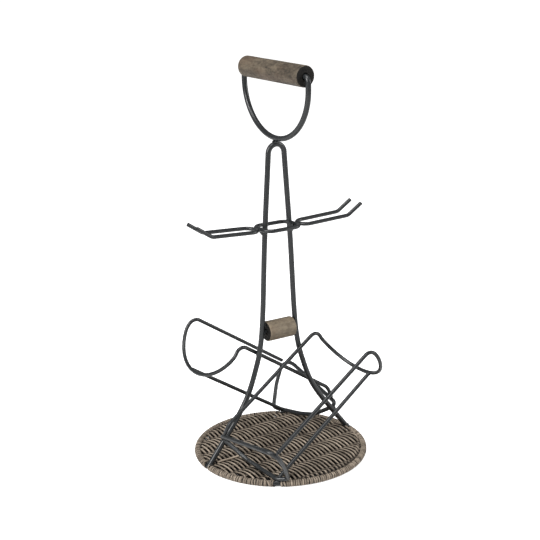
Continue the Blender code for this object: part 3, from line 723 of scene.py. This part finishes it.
def wood_effect():
    """Open-grained hardwood, stained and rubbed back: bands, fibres, dark pores and pale rubbed spots."""
    group, given = new_effect("stained wood", Color=["Light", "Dark", "Warm"], Vector=["Place"],
                              Float=["Shaded end"])

    def along_grain(stretch, scale, detail, distortion=0.0):
        place = add(group, "ShaderNodeMapping", {"Vector": given["Place"], "Scale": (1.0, stretch, 1.0)})
        return speckle(place, scale, detail, Distortion=distortion)

    band = along_grain(0.12, 190, 3, 0.6)
    fibre = along_grain(0.035, 1700, 3)
    holes = ramp(along_grain(0.3, 1500, 3), 0.55, 0.68)
    patch = along_grain(0.8, 85, 6)
    fleck = along_grain(0.55, 480, 4)
    warmth = along_grain(0.5, 45, 2)
    share = ramp(band, 0.3, 0.7) * 0.3 + ramp(fibre, 0.3, 0.7) * 0.25 + ramp(patch, 0.38, 0.62) * 0.38
    share = share + ramp(fleck, 0.36, 0.64) * 0.34 - holes * 0.5
    # Painted shade: the wood darkens towards its end at negative Y.
    end_shade = ramp(separate(given["Place"])[1], -0.05, 0.02, 1.0, 0.0) * given["Shaded end"]
    share = add(group, "ShaderNodeClamp", {0: share - end_shade})
    colour = blend_colours(share, given["Dark"], given["Light"])
    return close_effect(blend_colours(ramp(warmth, 0.45, 0.65, 0.0, 0.45), colour, given["Warm"]),
                        ramp(patch, 0.3, 0.7, 0.68, 0.52), fibre * 0.6 - holes * 0.8)


STAINED_WOOD = wood_effect()


def stained_wood(name, light, dark, warm, place, turn=(0, 0, 0), shaded_end=0.0, gloss=0.45):
    """Wood whose grain runs along Y once the place is taken off and the turn is made."""
    material, tree = new_material(name)
    spot = add(tree, "ShaderNodeTexCoord")["Object"]
    spot = add(tree, "ShaderNodeMapping", {"Vector": spot, "Location": place, "Rotation": turn})
    inputs = {"Light": light, "Dark": dark, "Warm": warm, "Place": spot, "Shaded end": shaded_end}
    return finished(material, STAINED_WOOD, inputs, 0.6, WOOD_RELIEF, specular=gloss)


def dowel_profile(half, bore, edge, steps, bottom=()):
    """Radius and place along a bored dowel, from the bore at one end over the rounded edges to the other."""
    near_end = [*bottom, (bore, half - BORE_CHAMFER), (bore + BORE_CHAMFER, half)]
    near_end += [(GRIP_RADIUS - edge + edge * math.sin(a), half - edge * (1 - math.cos(a)))
                 for a in [math.pi / 2 * i / EDGE_STEPS for i in range(EDGE_STEPS + 1)]]
    side_run = [(GRIP_RADIUS, half - edge - (2 * half - 2 * edge) * i / steps) for i in range(1, steps)]
    return near_end + side_run + [(radius, -along) for radius, along in reversed(near_end)]


def mesh_from(name, bm, *materials):
    """The finished faces as one plain mesh with its materials."""
    mesh = bpy.data.meshes.new(name)
    bm.to_mesh(mesh)
    bm.free()
    for material in materials:
        mesh.materials.append(material)
    return mesh


def turned_dowel(name, profile, end_radius, lie, side_wood, end_wood, through=False):
    """The profile spun about Z and laid in place. A bore goes right through, or has a bottom at each end."""
    bm = bmesh.new()
    rings = []
    for radius, along in profile:
        ring = []
        for a in [2 * math.pi * i / DOWEL_SIDES for i in range(DOWEL_SIDES)]:
            out = radius
            if radius > 0.8 * GRIP_RADIUS:
                lump = noise.noise(Vector((math.cos(a) * 1.5, math.sin(a) * 1.5, along * 60)))
                out += TURNING_WAVE * (lump - 0.3)
            ring.append(bm.verts.new((out * math.cos(a), out * math.sin(a), along)))
        rings.append(ring)

    def join(low, high, finish):
        for i in range(DOWEL_SIDES):
            j = (i + 1) % DOWEL_SIDES
            face = bm.faces.new((low[i], low[j], high[j], high[i]))
            face.smooth = True
            face.material_index = finish

    for k in range(len(rings) - 1):
        at_end = max(profile[k][0], profile[k + 1][0]) <= end_radius
        join(rings[k], rings[k + 1], 1 if at_end else 0)
    if through:
        join(rings[-1], rings[0], 0)
    else:
        for ring in (rings[0], rings[-1]):
            bm.faces.new(ring).material_index = 1
    bm.transform(lie)
    bmesh.ops.recalc_face_normals(bm, faces=bm.faces)
    mesh = mesh_from(name, bm, side_wood, end_wood)
    mesh.set_sharp_from_angle(angle=math.radians(40))
    return show(name, mesh)


half = GRIP_LENGTH / 2
bottom = [(BORE_RADIUS, half - BORE_DEPTH)]
profile = dowel_profile(half, BORE_RADIUS, GRIP_EDGE, TOP_GRIP_STEPS, bottom)
lie = Matrix.Translation((0, 0, grip_height)) @ Matrix.Rotation(math.pi / 2, 4, "X")
top_place = (0, 0, -grip_height)
# The top grip gets painted shade towards one end.
side_wood = stained_wood("top grip wood", WOOD_LIGHT, WOOD_DARK, WOOD_WARM, top_place, shaded_end=0.2)
end_wood = stained_wood("top grip end grain", END_LIGHT, END_DARK, END_DARK, top_place, QUARTER_TURN,
                        gloss=0.2)
grip = turned_dowel("top_grip_wood", profile, GRIP_RADIUS - 0.5 * GRIP_EDGE, lie, side_wood, end_wood)
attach(grip, "top_grip")
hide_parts("top_grip")


# --------------------------------------------------- lower grip and its pin
# A short dowel of the same wood between the legs of the hairpin, bored right through. It turns on a 5 mm
# steel rod that is welded from leg to leg.
LOWER_GRIP_HEIGHT = 135.4 * MM
LOWER_GRIP_END_GAP = 1.2 * MM
PIN_DIAMETER = 5.0 * MM
PIN_PLAY = 0.6 * MM
LOWER_EDGE = 1.2 * MM
LOWER_GRIP_STEPS = 14
LOWER_LIGHT = (0.240, 0.195, 0.136, 1.0)
LOWER_DARK = (0.100, 0.077, 0.052, 1.0)
LOWER_WARM = (0.180, 0.122, 0.078, 1.0)

half = leg_half_width(LOWER_GRIP_HEIGHT + GRIP_RADIUS) - POST_RADIUS - LOWER_GRIP_END_GAP
lie = Matrix.Translation((0, 0, LOWER_GRIP_HEIGHT)) @ Matrix.Rotation(math.pi / 2, 4, "Y")
lower_place = (0, 0, -LOWER_GRIP_HEIGHT)
profile = dowel_profile(half, PIN_DIAMETER / 2 + PIN_PLAY, LOWER_EDGE, LOWER_GRIP_STEPS)
side_wood = stained_wood("lower grip wood", LOWER_LIGHT, LOWER_DARK, LOWER_WARM, lower_place, QUARTER_TURN)
end_wood = stained_wood("lower grip end grain", END_LIGHT, END_DARK, END_DARK, lower_place, gloss=0.2)
short_grip = turned_dowel("lower_grip_wood", profile, GRIP_RADIUS - 0.5 * LOWER_EDGE, lie, side_wood,
                          end_wood, through=True)
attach(short_grip, "lower_grip")
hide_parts("lower_grip")

pin_end = on_leg(LOWER_GRIP_HEIGHT)
pin = steel_wire("pin", [half_turn(pin_end), pin_end], PIN_DIAMETER, wear=0.8, form="rod")
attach(pin, "stand")
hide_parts("lower_grip_pin")


# --------------------------------------------------------- ring and gussets
# An oval of 4 mm wire goes round both legs and carries the forks. A small plate is welded under each of its
# ends, between the wire and the leg.
RING_WIRE = 4.0 * MM
RING_HEIGHT = 244.0 * MM
RING_HALF_LENGTH = 20.5 * MM
RING_HALF_WIDTH = 14.1 * MM
RING_CORNER = 9.0 * MM
GUSSET_THICKNESS = 3.0 * MM
GUSSET_DEPTH = 6.0 * MM
GUSSET_LAP = 0.6 * MM
GUSSET_BEVEL = 0.45 * MM

corners = [(Vector((x * RING_HALF_LENGTH, y * RING_HALF_WIDTH, RING_HEIGHT)), RING_CORNER)
           for x, y in ((1, -1), (1, 1), (-1, 1), (-1, -1))]
ring = steel_wire("ring", bent_path(corners, closed=True), RING_WIRE, closed=True)
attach(ring, "stand")
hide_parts("glass_ring")

top = RING_HEIGHT - RING_WIRE / 2
low = top - GUSSET_DEPTH
outline = [(leg_half_width(low) + 0.8 * POST_RADIUS, low), (RING_HALF_LENGTH + RING_WIRE / 4, top),
           (RING_HALF_LENGTH, top + GUSSET_LAP), (leg_half_width(top) + 0.8 * POST_RADIUS, top)]
for node, side in (("ring_gusset_right", 1), ("ring_gusset_left", -1)):
    bm = bmesh.new()
    face = bm.faces.new([bm.verts.new((side * x, -GUSSET_THICKNESS / 2, z)) for x, z in outline])
    moved = bmesh.ops.extrude_face_region(bm, geom=[face])["geom"]
    bmesh.ops.translate(bm, verts=[v for v in moved if isinstance(v, bmesh.types.BMVert)],
                        vec=(0, GUSSET_THICKNESS, 0))
    bmesh.ops.bevel(bm, geom=bm.edges[:], offset=GUSSET_BEVEL, segments=3, affect="EDGES", profile=0.5)
    bmesh.ops.recalc_face_normals(bm, faces=bm.faces)
    mesh = mesh_from(node + "_plate", bm, coated_steel(node + " coat"))
    mesh.shade_smooth()
    plate = show(node + "_plate", mesh)
    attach(plate, "stand")
    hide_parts(node)


# -------------------------------------------------------------------- forks
# Two U-shaped forks of 4 mm wire welded to the ends of the ring. They rise a little outwards, and their
# square-cut tips turn up.
FORK_WIRE = RING_WIRE
FORK_HALF_GAP = 9.85 * MM
FORK_BEND = FORK_HALF_GAP - 0.05 * MM
FORK_LENGTH = 54.0 * MM
FORK_RISE = 2.6 * MM
FORK_TIP_REACH = 16.2 * MM
FORK_TIP_RISE = 10.8 * MM
FORK_TIP_BEND = 8.0 * MM
FORK_TURN = math.radians(-2.0)
RING_WELD = 2.6 * MM
FORK_WELD_OUT = 0.1 * MM
LEG_WELD_AT, LEG_WELD_LIFT = 17.9 * MM, 0.3 * MM


def twin_wires(name, other, path, diameter, wear=0.35, closed=False):
    """A wire, and its twin half a turn round on the other side of the carrier."""
    return [(node, steel_wire(node, points, diameter, wear, closed))
            for node, points in zip((name, other), turned_too([path]))]


near = RING_HALF_LENGTH + RING_WIRE / 2 + FORK_WIRE / 2 + WELD_GAP
upward = near + FORK_LENGTH
high = RING_HEIGHT + FORK_RISE
prong = [(Vector((upward + FORK_TIP_REACH, FORK_HALF_GAP, high + FORK_TIP_RISE)), 0),
         (Vector((upward, FORK_HALF_GAP, high)), FORK_TIP_BEND)]
close = [(Vector((near, y, RING_HEIGHT)), FORK_BEND) for y in (FORK_HALF_GAP, -FORK_HALF_GAP)]
other = [(Vector((p.x, -p.y, p.z)), r) for p, r in reversed(prong)]
askew = Matrix.Rotation(FORK_TURN, 3, "Z")
fork = [askew @ p for p in bent_path(prong + close + other)]
for node, wire in twin_wires("glass_fork_right", "glass_fork_left", fork, FORK_WIRE, wear=0.45):
    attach(wire, "stand")
    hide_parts(node)

across = Vector((0, 1, 0))
at_fork = Vector((RING_HALF_LENGTH + RING_WIRE / 2 + FORK_WELD_OUT, 0, RING_HEIGHT))
at_leg = Vector((LEG_WELD_AT, 0, RING_HEIGHT + LEG_WELD_LIFT))
runs = [short_run(at_fork, across, -5.5, -2.5, 0.5, 3.5), short_run(at_leg, across, -2.0, 0, 2.0)]
weld("ring_welds", turned_too(runs), RING_WELD)


# ------------------------------------------------------------ cradle frames
# On each side one 4 mm wire makes both rails and the saddle of a slanted cradle. The inner rail crosses a leg
# of the hairpin and is welded there; the back frame is the front one turned round.
CRADLE_WIRE = 4.0 * MM
CRADLE_RADIUS = CRADLE_WIRE / 2
CRADLE_AZIMUTH = math.radians(4.8)
CRADLE_SLOPE = math.radians(33.3)
CRADLE_CROSSING = 112.4 * MM
CRADLE_REACH = 120.1 * MM
INNER_RAIL = (-42.3 * MM, 4.4 * MM)
OUTER_RAIL = (48.0 * MM, 11.0 * MM)
RAIL_START = 3.0 * MM
RAIL_DIP, RAIL_DIP_BEND, RAIL_DIP_SHARE = 7.0 * MM, 10.0 * MM, 0.1
RAIL_BEND = 9.0 * MM
SADDLE_ALONG = 144.5 * MM
SADDLE_RADIUS = 48.8 * MM
SADDLE_MIDDLE = 2.85 * MM
SADDLE_CENTRE_UP = 8.0 * MM
SADDLE_END_BEND = 12.0 * MM
SADDLE_END_RUN = 4.5 * MM
SADDLE_STEPS = 16
STOP_WIRE = 4.5 * MM
STOP_RADIUS = STOP_WIRE / 2
STOP_ANCHOR_HEIGHT = 29.5 * MM
STOP_TIP_OUT, STOP_TIP_BACK = 2.0 * MM, 1.5 * MM
STOP_SHOULDER = (-2.5 * MM, 33.0 * MM, 12.5 * MM)
CROSSING_WELD, CROSSING_WELD_OUT = 2.8 * MM, 0.4 * MM


def in_cradle(along, out, up):
    """A point given along, beside and square above the front cradle's axis."""
    level = Vector((math.cos(CRADLE_AZIMUTH), math.sin(CRADLE_AZIMUTH), 0))
    a = level * math.cos(CRADLE_SLOPE) + Vector((0, 0, math.sin(CRADLE_SLOPE)))
    s = Vector((math.sin(CRADLE_AZIMUTH), -math.cos(CRADLE_AZIMUTH), 0))
    u = s.cross(a)
    crossing = on_leg(CRADLE_CROSSING) - Vector((0, POST_RADIUS + CRADLE_RADIUS + WELD_GAP, 0))
    return crossing - a * CRADLE_REACH - s * INNER_RAIL[0] - u * INNER_RAIL[1] + a * along + s * out + u * up


def saddle_point(angle):
    out = SADDLE_MIDDLE + SADDLE_RADIUS * math.sin(angle)
    return in_cradle(SADDLE_ALONG, out, SADDLE_CENTRE_UP - SADDLE_RADIUS * math.cos(angle))


def saddle_end(rail):
    """Angle at which the saddle's arc leaves off below a rail."""
    return math.acos((SADDLE_CENTRE_UP - (rail[1] - RAIL_BEND - SADDLE_END_RUN)) / SADDLE_RADIUS)


anchor_rise = leg_direction(STOP_ANCHOR_HEIGHT)
up_left_leg = Vector((-anchor_rise.x, 0, anchor_rise.z))
from_left_leg = Vector((-anchor_rise.z, 0, -anchor_rise.x))
anchor = half_turn(on_leg(STOP_ANCHOR_HEIGHT))
stop_tip = anchor + from_left_leg * (POST_RADIUS + STOP_RADIUS + WELD_GAP + STOP_TIP_OUT)
stop_tip += Vector((0, STOP_TIP_BACK, 0))
stop_shoulder = in_cradle(*STOP_SHOULDER)

first, last = saddle_end(OUTER_RAIL), -saddle_end(INNER_RAIL)
arc = [saddle_point(first + (last - first) * i / SADDLE_STEPS) for i in range(SADDLE_STEPS + 1)]
dip = in_cradle(RAIL_DIP, *INNER_RAIL)
touch = stop_tip.lerp(stop_shoulder, RAIL_DIP_SHARE)
slant = abs((dip - touch).normalized().dot((stop_shoulder - stop_tip).normalized()))
clear = (STOP_RADIUS + WELD_GAP + CRADLE_RADIUS * slant) / math.sqrt(1 - slant ** 2)
rail_end = touch + (dip - touch).normalized() * clear
outer_end = in_cradle(RAIL_START, *OUTER_RAIL)
frame_path = bent_path([
    (outer_end, 0), (in_cradle(SADDLE_ALONG, *OUTER_RAIL), RAIL_BEND),
    (arc[0], SADDLE_END_BEND), *[(point, 0) for point in arc[1:-1]], (arc[-1], SADDLE_END_BEND),
    (in_cradle(SADDLE_ALONG, *INNER_RAIL), RAIL_BEND), (dip, RAIL_DIP_BEND), (rail_end, 0)])
for node, wire in twin_wires("cradle_frame_front", "cradle_frame_back", frame_path, CRADLE_WIRE):
    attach(wire, "stand")
    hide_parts(node)

crossing = on_leg(CRADLE_CROSSING) - Vector((0, POST_RADIUS + CROSSING_WELD_OUT, 0))
crossing_run = short_run(crossing, leg_direction(CRADLE_CROSSING), -4.2, 0, 4.2)
weld("crossing_welds", turned_too([crossing_run]), CROSSING_WELD)


# --------------------------------------------------------------- stop loops
# A closed loop of 4.5 mm wire at the low end of each cradle. It crosses from rail to rail, comes down on the
# rim and runs back as a strut to the other leg of the hairpin.
STOP_TOE_ANGLE = math.radians(242.0)
STOP_TOE_LIFT = 0.9 * MM
STOP_TOE_OUT = 3.5 * MM
STOP_CORNER = (0, 49.2 * MM, 12.6 * MM)
STOP_LEG_BOW, STOP_LEG_WAY = 2.5 * MM, Vector((0.83, -0.5, -0.2)).normalized()
STRUT_SAG, STRUT_SAG_WAY = 9.4 * MM, Vector((0.49, 0, -0.87)).normalized()
STOP_WELD, STOP_WELD_ASIDE = 2.8 * MM, 1.6 * MM
TIP_WELD_OUT = 0.2 * MM

toe = on_rim(STOP_TOE_ANGLE, HOOP_HEIGHT + BINDING_OUTER + STOP_TOE_LIFT + STOP_RADIUS, STOP_TOE_OUT)
stop_foot = on_rim(STOP_FOOT_ANGLE, HOOP_HEIGHT + HOOP_WIRE / 2 + WELD_GAP + STOP_RADIUS)
stop_corner = in_cradle(*STOP_CORNER)
stop_leg = (stop_corner + toe) / 2 + STOP_LEG_BOW * STOP_LEG_WAY
sag = STRUT_SAG * STRUT_SAG_WAY
corners = [(stop_tip, 4.0), (stop_shoulder, 20.0), (stop_corner, 9.0), (stop_leg, 80.0), (toe, 4.5),
           (stop_foot, 8.0), (stop_foot.lerp(stop_tip, 0.35) + 0.7 * sag, 60.0),
           (stop_foot.lerp(stop_tip, 0.625) + sag, 30.0)]
stop_path = bent_path([(corner, bend * MM) for corner, bend in corners], closed=True)
for node, wire in twin_wires("stop_loop_front", "stop_loop_back", stop_path, STOP_WIRE, wear=0.45,
                             closed=True):
    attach(wire, "stand")
    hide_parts(node)

outwards = on_rim(STOP_FOOT_ANGLE, height=0).normalized()
along_rim = Vector((-outwards.y, outwards.x, 0))
foot_seat = stop_foot - Vector((0, 0, STOP_RADIUS))
runs = [short_run(foot_seat + outwards * aside, along_rim, -3.0, 0, 3.0)
        for aside in (STOP_WELD_ASIDE, -STOP_WELD_ASIDE)]
runs += [short_run(anchor + from_left_leg * (POST_RADIUS + TIP_WELD_OUT), up_left_leg, -3.0, 0, 3.0),
         short_run(rail_end, touch - rail_end, -0.8, 0.8, 2.0),
         short_run(outer_end, stop_corner - outer_end, -0.5, 1.0, 2.5)]
weld("stop_welds", turned_too(runs), STOP_WELD)


# ------------------------------------------------------------ saddle braces
# A straight 4 mm wire from the foot of each stop loop up to its saddle, which carries most of the load.
# Both its ends are welded all round.
BRACE_WIRE = 4.0 * MM
BRACE_SIDE = 14.5 * MM
BRACE_WELD, BRACE_WELD_RISE = 1.8 * MM, 0.8 * MM
FOOT_COLLAR, TOP_COLLAR = 1.6 * MM, 1.4 * MM

brace_foot = stop_foot + Vector((0, 0, BRACE_WIRE / 2 - STOP_RADIUS))
brace_top = saddle_point(math.asin((BRACE_SIDE - SADDLE_MIDDLE) / SADDLE_RADIUS))
lean = (brace_top - brace_foot).normalized()
brace_path = [brace_foot + lean * STOP_RADIUS, brace_top - lean * CRADLE_RADIUS]
for node, wire in twin_wires("saddle_brace_front", "saddle_brace_back", brace_path, BRACE_WIRE):
    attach(wire, "stand")
    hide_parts(node)

collars = [collar(brace_path[0] + lean * BRACE_WELD_RISE, lean, FOOT_COLLAR),
           collar(brace_path[1], lean, TOP_COLLAR)]
weld("brace_welds", turned_too(collars), BRACE_WELD)


# ------------------------------------------------------------------- studio
# A plain white floor that stays white where the camera sees it, a soft white surround and three soft lamps.
# Close round the base the floor keeps its own shadow.
FLOOR_RADIUS = 24.0
SHADOW_EDGE = (80 * MM, 92 * MM)
FLOOR_GLOW = 0.85
SURROUND_LIGHT = 0.24
LAMPS_AIM = Vector((0, 0, 0.18))
WHITE = (1.0, 1.0, 1.0, 1.0)
PAPER = (0.93, 0.93, 0.93, 1.0)

bpy.context.scene.view_settings.view_transform = "Standard"
bm = bmesh.new()
bmesh.ops.create_circle(bm, cap_ends=True, segments=64, radius=FLOOR_RADIUS)
paper, tree = new_material("white paper")
place = add(tree, "ShaderNodeTexCoord")["Object"]
from_middle = add(tree, "ShaderNodeVectorMath", {0: place}, operation="LENGTH")["Value"]
seen = add(tree, "ShaderNodeLightPath")["Is Camera Ray"]
glow = seen * ramp(from_middle, *SHADOW_EDGE, 0.0, FLOOR_GLOW)
feed(tree.nodes["Principled BSDF"], {"Base Color": PAPER, "Roughness": 0.9, "Specular IOR Level": 0.1,
                                     "Emission Color": WHITE, "Emission Strength": glow})
show("floor", mesh_from("floor", bm, paper))

world = bpy.data.worlds.new("white surround")
bpy.context.scene.world = world
world.use_nodes = True
seen = add(world.node_tree, "ShaderNodeLightPath")["Is Camera Ray"]
surround = add(world.node_tree, "ShaderNodeMapRange", {"Value": seen, "To Min": SURROUND_LIGHT,
                                                       "To Max": 1.0})
feed(world.node_tree.nodes["Background"], {"Color": WHITE, "Strength": surround})

for name, place, size, power in (("key lamp", (-1.9, -0.35, 1.4), 1.0, 42.0),
                                 ("fill lamp", (1.7, -1.2, 0.9), 0.9, 15.0),
                                 ("top lamp", (-0.3, -0.4, 2.2), 1.1, 24.0)):
    lamp = bpy.data.lights.new(name, "AREA")
    lamp.shape = "SQUARE"
    lamp.size = size
    lamp.energy = power
    holder = show(name, lamp)
    holder.location = place
    holder.rotation_euler = (LAMPS_AIM - Vector(place)).to_track_quat("-Z", "Y").to_euler()


# ------------------------------------------------------------------- camera
# The photograph's viewpoint, found from measured points: 1.2 m away, looking down by 16 degrees.
# It is turned and rolled by less than a degree.
VIEW_TURN, DISTANCE, EYE_HEIGHT = math.radians(32.57), 1180.3 * MM, 546.7 * MM
PAN, TILT, ROLL = math.radians(-0.39), math.radians(16.44), math.radians(-0.98)
LENS, SENSOR_WIDTH = 80.81, 36.0

lens = bpy.data.cameras.new("camera")
lens.lens = LENS
lens.sensor_width = SENSOR_WIDTH
camera = show("camera", lens)
eye = Vector((-DISTANCE * math.sin(VIEW_TURN), -DISTANCE * math.cos(VIEW_TURN), EYE_HEIGHT))
camera.matrix_world = (Matrix.Translation(eye) @ Matrix.Rotation(-VIEW_TURN - PAN, 4, "Z")
                       @ Matrix.Rotation(math.pi / 2 - TILT, 4, "X") @ Matrix.Rotation(ROLL, 4, "Z"))
bpy.context.scene.camera = camera
